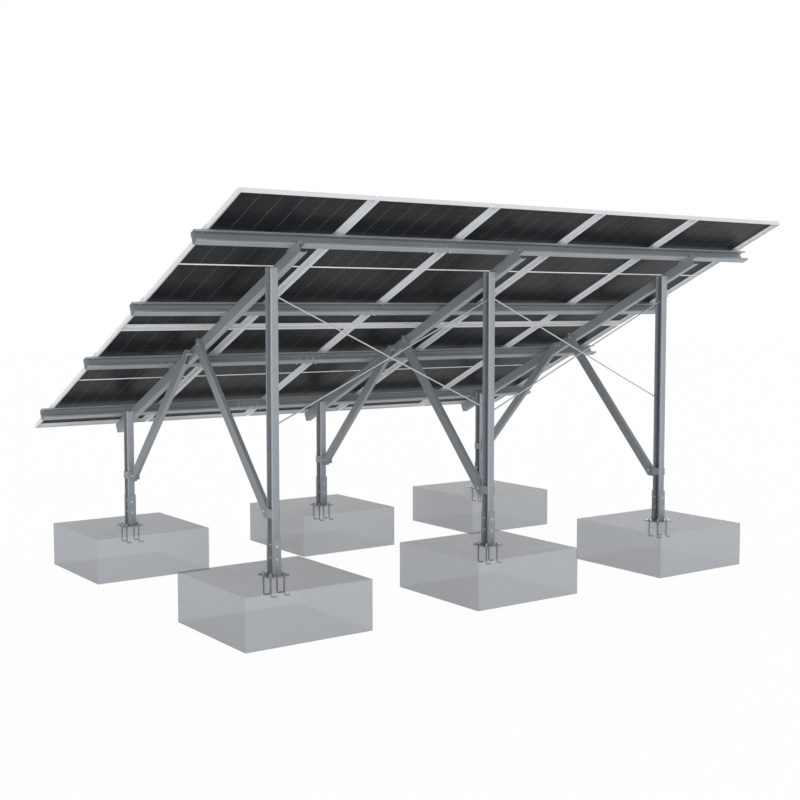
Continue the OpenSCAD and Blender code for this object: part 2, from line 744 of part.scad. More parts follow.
module assembly_bolts() {
    outer = post_h / 2 + slide_play + shoe_t;
    color("#c3c6c8") {
        for (i = [0 : last_frame], front = [false, true]) translate([web_x(i), post_y(front), 0]) {
            for (z = shoe_bolt_z, a = [0, 180])
                translate([-post_w / 2, 0, footing_h + z]) rotate([0, 0, a]) translate([0, -outer, 0])
                    along_y() bolt_set(bolt_d, shoe_t + slide_play + post_t);
            for (z = shoe_web_z) translate([shoe_t, shoe_web_y, footing_h + z])
                along_x() mirror([0, 0, 1]) bolt_set(bolt_d, shoe_t + post_t, tip = long_bolt_tip);
            for (k = [-1, 1]) translate([bracket_t, 0, bracket_z + k * bracket_bolt_z])
                along_x() mirror([0, 0, 1]) bolt_set(bolt_d, bracket_t + post_t);
        }
        for (i = [0 : last_frame], front = [false, true], k = [-1, 1]) place_on_slope()
            translate([web_x(i) - post_t, plane_s(post_y(front), head_bolt_d) + k * head_bolt_step, -head_bolt_d])
                along_x() bolt_set(bolt_d, post_t + beam_t);
        for (i = [0 : last_frame]) {
            for (y = [rear_pin_y, front_pin_y]) translate([web_x(i) - brace_w, y, bracket_z])
                along_x() spaced_bolt_set(brace_w + bracket_t);
            for (s = [rear_bolt_s, front_bolt_s]) place_on_slope()
                translate([web_x(i) - brace_w, s, -beam_mid_d]) along_x() spaced_bolt_set(brace_w + beam_t);
        }
        for (i = [0 : last_frame], s = purlin_s) place_on_slope() {
            at_cleat_bolt(i, s) bolt_set(bolt_d, purlin_t + cleat_t);
            translate([web_x(i) + cleat_foot_x, s + purlin_w / 2 + cleat_foot_s, -beam_top_d + cleat_t])
                mirror([0, 0, 1]) bolt_set(bolt_d, cleat_t + beam_t);
        }
        for (x = sleeve_bolt_x, s = purlin_s) place_on_slope() {
            at_sleeve_web(x, s) translate([0, 0, -sleeve_t]) bolt_set(bolt_d, sleeve_t + purlin_t);
            at_sleeve_flange(x, s) translate([0, 0, purlin_t + sleeve_t])
                mirror([0, 0, 1]) bolt_set(bolt_d, sleeve_t + purlin_t);
        }
        for (c = [0 : columns], s = purlin_s) place_on_slope() translate([clamp_x(c), s, 0])
            clamp_bolt(c == 0 || c == columns);
    }
}

// Bolt set with a spacer tube between a brace's web and the plate behind it
module spaced_bolt_set(grip) {
    bolt_set(bolt_d, grip);
    translate([0, 0, brace_t]) cylinder(d = bolt_d * spacer_share, h = brace_w - brace_t, $fn = fine);
}

// Clamp bolt: from the clamp down through the purlin's top flange
module clamp_bolt(at_end) {
    top = at_end ? clamp_t - frame_h : clamp_t - frame_h / 2;
    translate([0, 0, top]) mirror([0, 0, 1]) bolt_set(clamp_bolt_d, top + frame_h + purlin_t, clamp_washer_share);
}

footing(0, false);  // footing_rear_left
footing(1, false);  // footing_rear_middle
footing(2, false);  // footing_rear_right
footing(0, true);  // footing_front_left
footing(1, true);  // footing_front_middle
footing(2, true);  // footing_front_right
shoe(0, false);  // shoe_rear_left
shoe(1, false);  // shoe_rear_middle
shoe(2, false);  // shoe_rear_right
shoe(0, true);  // shoe_front_left
shoe(1, true);  // shoe_front_middle
shoe(2, true);  // shoe_front_right
post(0, false);  // rear_post_left
post(1, false);  // rear_post_middle
post(2, false);  // rear_post_right
post(0, true);  // front_post_left
post(1, true);  // front_post_middle
post(2, true);  // front_post_right
beam(0);  // beam_left
beam(1);  // beam_middle
beam(2);  // beam_right
rear_brace(0);  // rear_brace_left
rear_brace(1);  // rear_brace_middle
rear_brace(2);  // rear_brace_right
front_brace(0);  // front_brace_left
front_brace(1);  // front_brace_middle
front_brace(2);  // front_brace_right
purlin(1, -purlin_end_x, joint_x);  // purlin_1_left
purlin(1, joint_x, purlin_end_x);  // purlin_1_right
purlin(2, -purlin_end_x, joint_x);  // purlin_2_left
purlin(2, joint_x, purlin_end_x);  // purlin_2_right
purlin(3, -purlin_end_x, joint_x);  // purlin_3_left
purlin(3, joint_x, purlin_end_x);  // purlin_3_right
purlin(4, -purlin_end_x, joint_x);  // purlin_4_left
purlin(4, joint_x, purlin_end_x);  // purlin_4_right
module_frame(0, 1);  // module_frame_upper_1
module_frame(0, 2);  // module_frame_upper_2
module_frame(0, 3);  // module_frame_upper_3
module_frame(0, 4);  // module_frame_upper_4
module_frame(0, 5);  // module_frame_upper_5
module_frame(1, 1);  // module_frame_lower_1
module_frame(1, 2);  // module_frame_lower_2
module_frame(1, 3);  // module_frame_lower_3
module_frame(1, 4);  // module_frame_lower_4
module_frame(1, 5);  // module_frame_lower_5
laminates(1);  // laminates_1
laminates(2);  // laminates_2
laminates(3);  // laminates_3
laminates(4);  // laminates_4
laminates(5);  // laminates_5
anchor_bolts();
anchor_nuts();
brace_brackets();
purlin_cleats();
purlin_splices();
mid_clamps();
end_clamps();
cross_rods();
rod_nuts();
assembly_bolts();
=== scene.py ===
# Looks of the ground mount for solar modules: the finishes of its steel, aluminium, glass
# and concrete, the weld beads on its shoes, and the studio that it stands in.
import json
import math

import bpy
from bpy.props import FloatProperty, FloatVectorProperty, IntProperty, PointerProperty
from mathutils import Euler
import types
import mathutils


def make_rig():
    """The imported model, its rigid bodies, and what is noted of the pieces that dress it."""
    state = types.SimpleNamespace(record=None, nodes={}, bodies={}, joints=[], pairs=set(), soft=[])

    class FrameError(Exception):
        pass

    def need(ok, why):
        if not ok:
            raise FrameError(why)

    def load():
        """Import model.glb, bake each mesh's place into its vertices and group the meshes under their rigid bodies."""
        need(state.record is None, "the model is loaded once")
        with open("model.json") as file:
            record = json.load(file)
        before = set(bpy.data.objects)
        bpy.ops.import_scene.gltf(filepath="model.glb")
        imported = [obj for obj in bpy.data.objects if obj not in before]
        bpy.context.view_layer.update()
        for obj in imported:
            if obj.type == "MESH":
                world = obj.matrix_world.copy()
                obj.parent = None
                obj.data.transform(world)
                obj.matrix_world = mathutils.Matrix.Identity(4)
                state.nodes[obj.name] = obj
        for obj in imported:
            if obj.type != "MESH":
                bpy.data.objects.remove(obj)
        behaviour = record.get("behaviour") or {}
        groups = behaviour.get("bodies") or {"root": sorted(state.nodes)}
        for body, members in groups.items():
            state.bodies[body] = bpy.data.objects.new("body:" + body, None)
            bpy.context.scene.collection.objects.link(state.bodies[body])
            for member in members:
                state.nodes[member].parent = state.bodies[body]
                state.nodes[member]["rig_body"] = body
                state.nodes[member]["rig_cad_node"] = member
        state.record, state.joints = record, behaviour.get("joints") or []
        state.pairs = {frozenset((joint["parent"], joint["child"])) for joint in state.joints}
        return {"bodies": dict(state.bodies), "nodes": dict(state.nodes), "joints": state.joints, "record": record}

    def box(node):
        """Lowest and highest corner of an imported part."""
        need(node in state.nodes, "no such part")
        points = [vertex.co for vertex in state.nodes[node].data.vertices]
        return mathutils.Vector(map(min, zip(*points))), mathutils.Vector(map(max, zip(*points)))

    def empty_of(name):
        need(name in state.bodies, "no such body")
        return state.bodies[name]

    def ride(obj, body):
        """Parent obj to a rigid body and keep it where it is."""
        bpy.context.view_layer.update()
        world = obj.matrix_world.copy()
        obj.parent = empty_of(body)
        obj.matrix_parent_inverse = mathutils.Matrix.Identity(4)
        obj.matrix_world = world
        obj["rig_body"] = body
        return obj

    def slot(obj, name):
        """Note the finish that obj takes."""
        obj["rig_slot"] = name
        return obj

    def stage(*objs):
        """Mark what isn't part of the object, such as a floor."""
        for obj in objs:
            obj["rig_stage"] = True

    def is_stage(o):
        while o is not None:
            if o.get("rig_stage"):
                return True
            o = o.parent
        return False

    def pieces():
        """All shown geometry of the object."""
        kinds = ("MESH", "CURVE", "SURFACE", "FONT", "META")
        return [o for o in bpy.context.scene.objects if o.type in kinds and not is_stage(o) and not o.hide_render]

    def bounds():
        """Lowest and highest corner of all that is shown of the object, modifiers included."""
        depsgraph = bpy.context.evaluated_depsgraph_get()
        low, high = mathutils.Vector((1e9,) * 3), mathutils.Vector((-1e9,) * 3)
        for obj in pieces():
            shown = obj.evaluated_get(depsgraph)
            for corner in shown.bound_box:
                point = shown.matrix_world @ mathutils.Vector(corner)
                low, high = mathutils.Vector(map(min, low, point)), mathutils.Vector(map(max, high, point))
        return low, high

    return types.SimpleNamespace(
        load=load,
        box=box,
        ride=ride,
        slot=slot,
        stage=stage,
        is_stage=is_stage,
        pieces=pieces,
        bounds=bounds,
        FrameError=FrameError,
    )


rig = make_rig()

bl_info = {
    "name": "Solar Module Ground Mount",
    "version": (1, 0, 0),
    "blender": (4, 5, 0),
    "location": "View3D > Sidebar > Ground Mount",
    "description": "Finishes, weld beads and studio of a ground mount for solar modules",
    "category": "Object",
}

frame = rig.load()
CAD_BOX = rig.bounds()
NODES = frame["nodes"]
MM = 0.001
# How far the streaks of the rolls are drawn out along a rolled member
STREAK = 25
# Nearly all of a noise lies between these two values, which a Map Range node spreads from 0 to 1
NOISE_SPAN = {"From Min": 0.3, "From Max": 0.7}
# How metallic a dull skin of zinc or oxide looks
DULL_METAL = 0.35


def linear(hex_colour):
    """Linear RGB of an sRGB colour written as #rrggbb, by the standard's own curve."""
    parts = [int(hex_colour[i : i + 2], 16) / 255 for i in (1, 3, 5)]
    return tuple(c / 12.92 if c <= 0.04045 else ((c + 0.055) / 1.055) ** 2.4 for c in parts)


def colour(name, about, hex_colour):
    """A colour property with its default written as sRGB hex."""
    return FloatVectorProperty(
        name=name, description=about, subtype="COLOR", size=3, min=0, max=1, default=linear(hex_colour)
    )


def length(name, about, millimetres):
    """A length property with its default in millimetres."""
    return FloatProperty(
        name=name, description=about, subtype="DISTANCE", unit="LENGTH", min=0, default=millimetres * MM
    )


def angle(name, about, degrees):
    """An angle property with its default in degrees."""
    return FloatProperty(
        name=name, description=about, subtype="ANGLE", unit="ROTATION", default=math.radians(degrees)
    )


def strength(name, about, value):
    """A plain number from 0 upwards, such as the strength of a light."""
    return FloatProperty(name=name, description=about, min=0, default=value)


class FieldSettings(bpy.types.PropertyGroup):
    """Layout of the module field and of the cells in a module."""

    tilt: angle("Tilt", "Slope of the modules", 25)
    rear_brace_lean: angle("Rear brace lean", "Slope of the rear braces from upright", 43)
    front_brace_lean: angle("Front brace lean", "Slope of the front braces from upright", 45)
    module_width: length("Module width", "Width of a module along the row", 1134)
    module_length: length("Module length", "Length of a module up the slope", 2278)
    module_gap: length("Module gap", "Gap between neighbouring modules", 20)
    frame_height: length("Frame height", "Height of a module frame", 35)
    cell_columns: IntProperty(name="Cell columns", description="Columns of cells in a module", default=6)
    cell_rows: IntProperty(name="Cell rows", description="Half cells in a column on each half", default=12)
    cell_pitch: length("Cell pitch", "From one column of cells to the next", 181)
    half_cell_pitch: length("Half cell pitch", "From one half cell to the next in a column", 91.5)
    cell_gap: length("Cell gap", "Clear gap between columns of cells", 2)
    row_gap: length("Row gap", "Clear gap between half cells in a column", 0.4)
    middle_gap: length("Middle gap", "Clear strip between the two halves of a module", 20)
    wire_pitch: length("Wire pitch", "Distance between the wires on a cell", 16.5)
    wire_width: length("Wire width", "Drawn width of a wire, wider than the real 0.3 mm", 0.8)


class FinishSettings(bpy.types.PropertyGroup):
    """Colours of the finishes."""

    zinc_coil: colour("Zinc coated sheet", "Channels rolled from coated coil", "#8d9398")
    # Painted shade: the braces take a darker copy of the coil's zinc
    zinc_brace_shaded: colour("Brace zinc", "Braces, from a duller coil", "#868b8f")
    zinc_dip: colour("Hot-dip zinc", "Shoes, brackets, cleats and sleeves", "#90969b")
    zinc_plate: colour("Zinc plate", "Bolts, nuts and washers", "#c4c8cb")
    rod_zinc: colour("Rod zinc", "Cross rods", "#b9bdc1")
    anchor_steel: colour("Anchor steel", "Plain anchor bolts", "#b4b7ba")
    anodised: colour("Anodised aluminium", "Module frames", "#cfd1d3")
    mill_aluminium: colour("Extruded aluminium", "Clamps", "#cdd0d2")
    cell_front: colour("Cell front", "Sun side of a cell", "#0d1120")
    cell_back: colour("Cell back", "Ground side of a cell", "#17181b")
    # Painted light: the light through the clear gaps between cells, drawn as a grey
    cell_gap_light: colour("Cell gap", "Clear glass between cells", "#747676")
    # Painted light: the light through the clear strip, drawn as a pale colour
    clear_strip_light: colour("Clear strip", "Clear glass between the two halves of a module", "#dcdfe0")
    wire: colour("Wire", "Wires on the sun side of the cells", "#4b525b")
    concrete: colour("Concrete", "Cast footings", "#888f97")
    # Painted shade on the footings' undersides
    concrete_underside_shade: colour("Concrete underside", "Face cast against the ground", "#3f4347")
    weld: colour("Weld", "Weld beads under the zinc", "#8b9096")


class WeldSettings(bpy.types.PropertyGroup):
    """Weld beads of a shoe."""

    bead_radius: length("Bead radius", "Leg of a fillet weld", 4)
    ripple: length("Ripple", "Length of one ripple of a bead", 4)
    plate: length("Plate", "Thickness of a shoe's base plate", 10)
    stub_x: length("Stub width", "Width of the stub that holds the post", 71)
    stub_y: length("Stub depth", "Depth of the stub that holds the post", 102.8)
    web_x: length("Web offset", "Outer face of the stub's web from the shoe's middle", 38.5)
    gusset_foot: length("Gusset foot", "Length of a gusset on the base plate", 36)
    gusset_half: length("Half gusset", "Half the thickness of a gusset", 3)
    sides: IntProperty(name="Bead sides", description="Sides of a bead's outline", default=10)
    neck: strength("Bead neck", "Share of the bead radius between two ripples", 0.8)
    swell: strength("Bead swell", "How many times as thick a ripple is as the neck", 1.22)


class StudioSettings(bpy.types.PropertyGroup):
    """Camera and light."""

    camera_azimuth: angle("Camera azimuth", "Camera's direction round Z", -35.52)
    camera_elevation: angle("Camera elevation", "Slope of the camera's line of sight", 4.2)
    camera_view: angle("Camera view", "Angle of view", 35.63)
    camera_reach: length("Camera reach", "How far the camera sees, past the edge of the floor", 300000)
    camera_place: FloatVectorProperty(
        name="Camera place", description="Where the camera stands", subtype="XYZ", unit="LENGTH",
        default=(-6.934, -9.642, 2.4585),
    )
    floor_drop: length("Floor drop", "Floor under the footings", 0.5)
    floor_size: length("Floor size", "Side of the floor", 160000)
    floor_white: strength("Floor white", "Share of the floor that shows white whatever falls on it", 0.975)
    sky_light: strength("Sky light", "Light from all sides", 0.35)
    front_light: strength("Front light", "Light from the camera's side", 1.85)
    rear_light: strength("Rear light", "Light from the sunny side", 1.3)
    low_light: strength("Low light", "Light from below, on the undersides", 1.25)
    top_light: strength("Top light", "Light from above", 1.3)


def add_node(tree, kind, settings=None, inputs=None):
    """Adds a node with its settings; each input is a constant or the output linked to it.

    In a Mix node input 0 is the share, 2 and 3 are the numbers and 6 and 7 the colours to mix.
    """
    node = tree.nodes.new(kind)
    for key, value in (settings or {}).items():
        setattr(node, key, value)
    for key, value in (inputs or {}).items():
        if isinstance(value, bpy.types.NodeSocket):
            tree.links.new(value, node.inputs[key])
        else:
            node.inputs[key].default_value = value
    return node


def new_material(name):
    """An empty node material, its tree and its object coordinates."""
    material = bpy.data.materials.new(name)
    material.use_nodes = True
    material.node_tree.nodes.clear()
    place = add_node(material.node_tree, "ShaderNodeTexCoord")
    return material, material.node_tree, place.outputs["Object"]


def shade(tint, share=1.0):
    """RGBA of a tint made lighter or darker by a share."""
    return (*(min(1.0, c * share) for c in tint), 1.0)


def nodes_named(*starts):
    """Names of the CAD nodes that start with one of the given words."""
    names = sorted(name for name in NODES if name.startswith(starts))
    if not names:
        raise RuntimeError("no CAD node starts with " + ", ".join(starts))
    return names


def dress(names, material):
    """Gives each named CAD node one material."""
    for name in names:
        slots = NODES[name].data.materials
        slots.clear()
        slots.append(material)


def zinc_coated_coil(name, tint, lean, stretch):
    """Zinc-coated steel coil, roll formed: satin, finely spangled, with faint streaks along the member.

    lean turns the streaks onto the member, and stretch draws them out along it.
    """
    material, tree, place = new_material(name)
    along = add_node(
        tree,
        "ShaderNodeMapping",
        {"vector_type": "TEXTURE"},
        {"Vector": place, "Rotation": lean, "Scale": stretch},
    )
    # Spangle of 12 mm crystals, each of which takes the light a little differently
    spangle = add_node(
        tree, "ShaderNodeTexVoronoi", {"feature": "F1"}, {"Vector": place, "Scale": 1 / (12 * MM)}
    )
    crystal = add_node(tree, "ShaderNodeSeparateColor", None, {"Color": spangle.outputs["Color"]})
    # Streaks of the rolls, 30 mm wide
    streaks = add_node(
        tree,
        "ShaderNodeTexNoise",
        None,
        {"Vector": along.outputs["Vector"], "Scale": 1 / (30 * MM), "Detail": 4.0, "Roughness": 0.6},
    )
    # Clouds of 400 mm, as the coating dulls unevenly
    clouds = add_node(
        tree, "ShaderNodeTexNoise", None, {"Vector": place, "Scale": 1 / (400 * MM), "Detail": 3.0}
    )
    fine = add_node(
        tree,
        "ShaderNodeMix",
        {"data_type": "FLOAT"},
        {0: 0.3, 2: streaks.outputs["Fac"], 3: crystal.outputs["Red"]},
    )
    tone = add_node(
        tree,
        "ShaderNodeMix",
        {"data_type": "FLOAT"},
        {0: 0.5, 2: clouds.outputs["Fac"], 3: fine.outputs[0]},
    )
    spread = add_node(tree, "ShaderNodeMapRange", None, {"Value": tone.outputs[0]} | NOISE_SPAN)
    base = add_node(
        tree,
        "ShaderNodeMix",
        {"data_type": "RGBA"},
        {0: spread.outputs["Result"], 6: shade(tint, 0.92), 7: shade(tint, 1.08)},
    )
    roughness = add_node(
        tree,
        "ShaderNodeMapRange",
        None,
        {"Value": spread.outputs["Result"], "To Min": 0.4, "To Max": 0.52},
    )
    grain = add_node(
        tree,
        "ShaderNodeBump",
        None,
        {"Height": streaks.outputs["Fac"], "Strength": 0.08, "Distance": 0.4 * MM},
    )
    surface = add_node(
        tree,
        "ShaderNodeBsdfPrincipled",
        None,
        {
            "Base Color": base.outputs[2],
            "Metallic": DULL_METAL,
            "Roughness": roughness.outputs["Result"],
            "Normal": grain.outputs["Normal"],
        },
    )
    add_node(tree, "ShaderNodeOutputMaterial", None, {"Surface": surface.outputs["BSDF"]})
    return material


def hot_dip_zinc(tint):
    """Welded plates dipped in molten zinc: duller and mottled, with a rippled skin."""
    material, tree, place = new_material("hot_dip_galvanised_plate")
    # Mottle of 6 mm and ripples of 25 mm
    mottle = add_node(
        tree,
        "ShaderNodeTexNoise",
        None,
        {"Vector": place, "Scale": 1 / (6 * MM), "Detail": 5.0, "Roughness": 0.7},
    )
    ripple = add_node(tree, "ShaderNodeTexNoise", None, {"Vector": place, "Scale": 1 / (25 * MM)})
    tone = add_node(
        tree,
        "ShaderNodeMix",
        {"data_type": "FLOAT"},
        {0: 0.4, 2: mottle.outputs["Fac"], 3: ripple.outputs["Fac"]},
    )
    spread = add_node(tree, "ShaderNodeMapRange", None, {"Value": tone.outputs[0]} | NOISE_SPAN)
    base = add_node(
        tree,
        "ShaderNodeMix",
        {"data_type": "RGBA"},
        {0: spread.outputs["Result"], 6: shade(tint, 0.87), 7: shade(tint, 1.13)},
    )
    roughness = add_node(
        tree,
        "ShaderNodeMapRange",
        None,
        {"Value": spread.outputs["Result"], "To Min": 0.42, "To Max": 0.6},
    )
    skin = add_node(
        tree, "ShaderNodeBump", None, {"Height": tone.outputs[0], "Strength": 0.15, "Distance": 0.5 * MM}
    )
    surface = add_node(
        tree,
        "ShaderNodeBsdfPrincipled",
        None,
        {
            "Base Color": base.outputs[2],
            "Metallic": DULL_METAL,
            "Roughness": roughness.outputs["Result"],
            "Normal": skin.outputs["Normal"],
        },
    )
    add_node(tree, "ShaderNodeOutputMaterial", None, {"Surface": surface.outputs["BSDF"]})
    return material


class MOUNT_OT_steelwork(bpy.types.Operator):
    """Give the channels, shoes, brackets, cleats and sleeves their zinc finishes"""

    bl_idname = "mount.steelwork"
    bl_label = "Steelwork"

    def execute(self, context):
        field = context.scene.mount_field
        finish = context.scene.mount_finish
        coil = finish.zinc_coil
        shaded_brace_coil = finish.zinc_brace_shaded
        along_row = (STREAK, 1, 1)
        down_slope = (1, STREAK, 1)
        upright = (1, 1, STREAK)
        lines = ("purlin_1", "purlin_2", "purlin_3", "purlin_4")
        members = (
            ("posts", ("rear_post", "front_post"), coil, 0, upright),
            ("purlins", lines, coil, -field.tilt, along_row),
            ("beams", ("beam",), coil, -field.tilt, down_slope),
            # The braces take the darker copy of the zinc, as painted shade
            ("rear_braces", ("rear_brace",), shaded_brace_coil, -field.rear_brace_lean, upright),
            ("front_braces", ("front_brace",), shaded_brace_coil, field.front_brace_lean, upright),
        )
        for word, starts, tint, lean, stretch in members:
            steel = zinc_coated_coil("zinc_coated_coil_" + word, tint, (lean, 0, 0), stretch)
            dress(nodes_named(*starts), steel)
        dipped = hot_dip_zinc(finish.zinc_dip)
        dress(nodes_named("shoe_", "brace_brackets", "purlin_cleats", "purlin_splices"), dipped)
        return {"FINISHED"}


def plated_steel(name, tint, patch):
    """Zinc-plated bolts and rods: bright and fine grained from plating in a drum, with patches in mm."""
    material, tree, place = new_material(name)
    grain = add_node(
        tree,
        "ShaderNodeTexNoise",
        None,
        {"Vector": place, "Scale": 1 / (patch * MM), "Detail": 3.0, "Roughness": 0.6},
    )
    spread = add_node(tree, "ShaderNodeMapRange", None, {"Value": grain.outputs["Fac"]} | NOISE_SPAN)
    base = add_node(
        tree,
        "ShaderNodeMix",
        {"data_type": "RGBA"},
        {0: spread.outputs["Result"], 6: shade(tint, 0.9), 7: shade(tint, 1.1)},
    )
    roughness = add_node(
        tree,
        "ShaderNodeMapRange",
        None,
        {"Value": spread.outputs["Result"], "To Min": 0.28, "To Max": 0.42},
    )
    dents = add_node(
        tree,
        "ShaderNodeBump",
        None,
        {"Height": grain.outputs["Fac"], "Strength": 0.1, "Distance": 0.15 * MM},
    )
    surface = add_node(
        tree,
        "ShaderNodeBsdfPrincipled",
        None,
        {
            "Base Color": base.outputs[2],
            "Metallic": 0.9,
            "Roughness": roughness.outputs["Result"],
            "Normal": dents.outputs["Normal"],
        },
    )
    add_node(tree, "ShaderNodeOutputMaterial", None, {"Surface": surface.outputs["BSDF"]})
    return material


def anchor_steel(tint, thread_low):
    """Plain anchor steel with a rolled thread of 2 mm pitch over the upper end."""
    material, tree, place = new_material("plain_anchor_steel")
    pitch = 2 * MM
    parts = add_node(tree, "ShaderNodeSeparateXYZ", None, {"Vector": place})
    ridge = add_node(
        tree, "ShaderNodeMath", {"operation": "PINGPONG"}, {0: parts.outputs["Z"], 1: pitch / 2}
    )
    threaded = add_node(
        tree, "ShaderNodeMath", {"operation": "GREATER_THAN"}, {0: parts.outputs["Z"], 1: thread_low}
    )
    relief = add_node(
        tree, "ShaderNodeMath", {"operation": "MULTIPLY"}, {0: ridge.outputs[0], 1: threaded.outputs[0]}
    )
    # The ridges are in metres already, so the bump's distance is 1
    thread = add_node(
        tree, "ShaderNodeBump", None, {"Height": relief.outputs[0], "Strength": 0.9, "Distance": 1.0}
    )
    # Mill scale in flakes of 4 mm
    scale = add_node(
        tree, "ShaderNodeTexNoise", None, {"Vector": place, "Scale": 1 / (4 * MM), "Detail": 4.0}
    )
    base = add_node(
        tree,
        "ShaderNodeMix",
        {"data_type": "RGBA"},
        {0: scale.outputs["Fac"], 6: shade(tint, 0.8), 7: shade(tint, 1.2)},
    )
    roughness = add_node(
        tree, "ShaderNodeMapRange", None, {"Value": scale.outputs["Fac"], "To Min": 0.4, "To Max": 0.6}
    )
    surface = add_node(
        tree,
        "ShaderNodeBsdfPrincipled",
        None,
        {
            "Base Color": base.outputs[2],
            "Metallic": 0.8,
            "Roughness": roughness.outputs["Result"],
            "Normal": thread.outputs["Normal"],
        },
    )
    add_node(tree, "ShaderNodeOutputMaterial", None, {"Surface": surface.outputs["BSDF"]})
    return material


class MOUNT_OT_fasteners(bpy.types.Operator):
    """Give the bolts, nuts, rods and anchors their finishes"""

    bl_idname = "mount.fasteners"
    bl_label = "Fasteners"

    def execute(self, context):
        finish = context.scene.mount_finish
        plated = plated_steel("zinc_plated_fasteners", finish.zinc_plate, 2.5)
        dress(nodes_named("assembly_bolts", "anchor_nuts", "rod_nuts"), plated)
        dress(nodes_named("cross_rods"), plated_steel("zinc_plated_rods", finish.rod_zinc, 4))
        # The thread starts 30 mm down in the footing
        thread_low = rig.box("footing_rear_left")[1].z - 30 * MM
        dress(nodes_named("anchor_bolts"), anchor_steel(finish.anchor_steel, thread_low))
        return {"FINISHED"}


def ripple_bar(settings, ripples):
    """A weld bead along +X from the origin: a bar that swells and narrows at each ripple."""
    bpy.ops.mesh.primitive_circle_add(
        vertices=settings.sides,
        radius=settings.bead_radius * settings.neck,
        fill_type="NGON",
        rotation=(0, math.pi / 2, 0),
    )
    bead = bpy.context.object
    bpy.ops.object.transform_apply(location=False, rotation=True, scale=False)
    bpy.ops.object.mode_set(mode="EDIT")
    bpy.ops.mesh.select_all(action="SELECT")
    for step in range(2 * ripples):
        bpy.ops.mesh.extrude_region_move(TRANSFORM_OT_translate={"value": (settings.ripple / 2, 0, 0)})
        swell = settings.swell if step % 2 == 0 else 1 / settings.swell
        bpy.ops.transform.resize(value=(1, swell, swell))
    bpy.ops.mesh.select_all(action="SELECT")
    bpy.ops.mesh.normals_make_consistent(inside=False)
    bpy.ops.object.mode_set(mode="OBJECT")
    return bead


def laid_bead(bead, place, turn):
    """A copy of a bead with its own mesh, its start at a place and turned round Z."""
    copy = bead.copy()
    copy.data = bead.data.copy()
    bpy.context.scene.collection.objects.link(copy)
    copy.location = place
    copy.rotation_euler = (0, 0, turn)
    return copy


def select_only(objects):
    """Selects the objects and makes the first one active."""
    bpy.ops.object.select_all(action="DESELECT")
    for item in objects:
        item.select_set(True)
    bpy.context.view_layer.objects.active = objects[0]


def weld_material(tint):
    """Weld metal under zinc: rougher and duller than the plates round it."""
    material, tree, place = new_material("zinc_coated_weld")
    # Spatter and scale of 1.5 mm
    scale = add_node(
        tree, "ShaderNodeTexNoise", None, {"Vector": place, "Scale": 1 / (1.5 * MM), "Detail": 4.0}
    )
    base = add_node(
        tree,
        "ShaderNodeMix",
        {"data_type": "RGBA"},
        {0: scale.outputs["Fac"], 6: shade(tint, 0.8), 7: shade(tint, 1.2)},
    )
    skin = add_node(
        tree,
        "ShaderNodeBump",
        None,
        {"Height": scale.outputs["Fac"], "Strength": 0.3, "Distance": 0.3 * MM},
    )
    surface = add_node(
        tree,
        "ShaderNodeBsdfPrincipled",
        None,
        {
            "Base Color": base.outputs[2],
            "Metallic": 0.4,
            "Roughness": 0.55,
            "Normal": skin.outputs["Normal"],
        },
    )
    add_node(tree, "ShaderNodeOutputMaterial", None, {"Surface": surface.outputs["BSDF"]})
    return material


class MOUNT_OT_welds(bpy.types.Operator):
    """Lay the weld beads between each shoe's stub, gussets and base plate"""

    bl_idname = "mount.welds"
    bl_label = "Welds"

    def execute(self, context):
        weld = context.scene.mount_weld
        runs = (weld.stub_x, weld.stub_y, weld.gusset_foot)
        # Each bead stops one ripple short of the end of its run
        bars = [ripple_bar(weld, int(run / weld.ripple) - 1) for run in runs]
        left = weld.web_x - weld.stub_x
        back = -weld.stub_y / 2
        up = weld.plate
        quarter = math.pi / 2
        beads = [
            laid_bead(bars[0], (left, back, up), 0),
            laid_bead(bars[0], (left, -back, up), 0),
            laid_bead(bars[1], (weld.web_x, back, up), quarter),
        ]
        for side in (-weld.gusset_half, weld.gusset_half):
            beads.append(laid_bead(bars[2], (weld.web_x, side, up), 0))
            beads.append(laid_bead(bars[2], (side, -back, up), quarter))
            beads.append(laid_bead(bars[2], (side, back, up), -quarter))
        select_only(bars)
        bpy.ops.object.delete()
        select_only(beads)
        bpy.ops.object.join()
        first = bpy.context.object
        bpy.ops.object.transform_apply(location=True, rotation=True, scale=True)
        # The ripples are smooth and the ends stay sharp
        bpy.ops.object.shade_smooth_by_angle(angle=math.radians(50))
        first.data.materials.clear()
        first.data.materials.append(weld_material(context.scene.mount_finish.weld))
        for name in nodes_named("shoe_"):
            low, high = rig.box(name)
            piece = laid_bead(first, ((low.x + high.x) / 2, (low.y + high.y) / 2, low.z), 0)
            piece.name = "weld_beads" + name.removeprefix("shoe")
            select_only([piece])
            bpy.ops.object.transform_apply(location=True, rotation=True, scale=True)
            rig.ride(piece, "root")
            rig.slot(piece, "galvanised_steel")
        select_only([first])
        bpy.ops.object.delete()
        return {"FINISHED"}


def field_place(tree, place, field):
    """Outputs of the place in a module: across the row, and down the slope."""
    boxes = [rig.box(name) for name in nodes_named("module_frame")]
    left = min(low.x for low, high in boxes)
    rear = min(low.y for low, high in boxes)
    top = max(high.z for low, high in boxes)
    turned = add_node(
        tree,
        "ShaderNodeMapping",
        {"vector_type": "TEXTURE"},
        {
            "Vector": place,
            "Location": (left, rear + field.frame_height * math.sin(field.tilt), top),
            "Rotation": (-field.tilt, 0, 0),
        },
    )
    parts = add_node(tree, "ShaderNodeSeparateXYZ", None, {"Vector": turned.outputs["Vector"]})
    across = add_node(
        tree,
        "ShaderNodeMath",
        {"operation": "FLOORED_MODULO"},
        {0: parts.outputs["X"], 1: field.module_width + field.module_gap},
    )
    down = add_node(
        tree,
        "ShaderNodeMath",
        {"operation": "FLOORED_MODULO"},
        {0: parts.outputs["Y"], 1: field.module_length + field.module_gap},
    )
    return across.outputs[0], down.outputs[0]


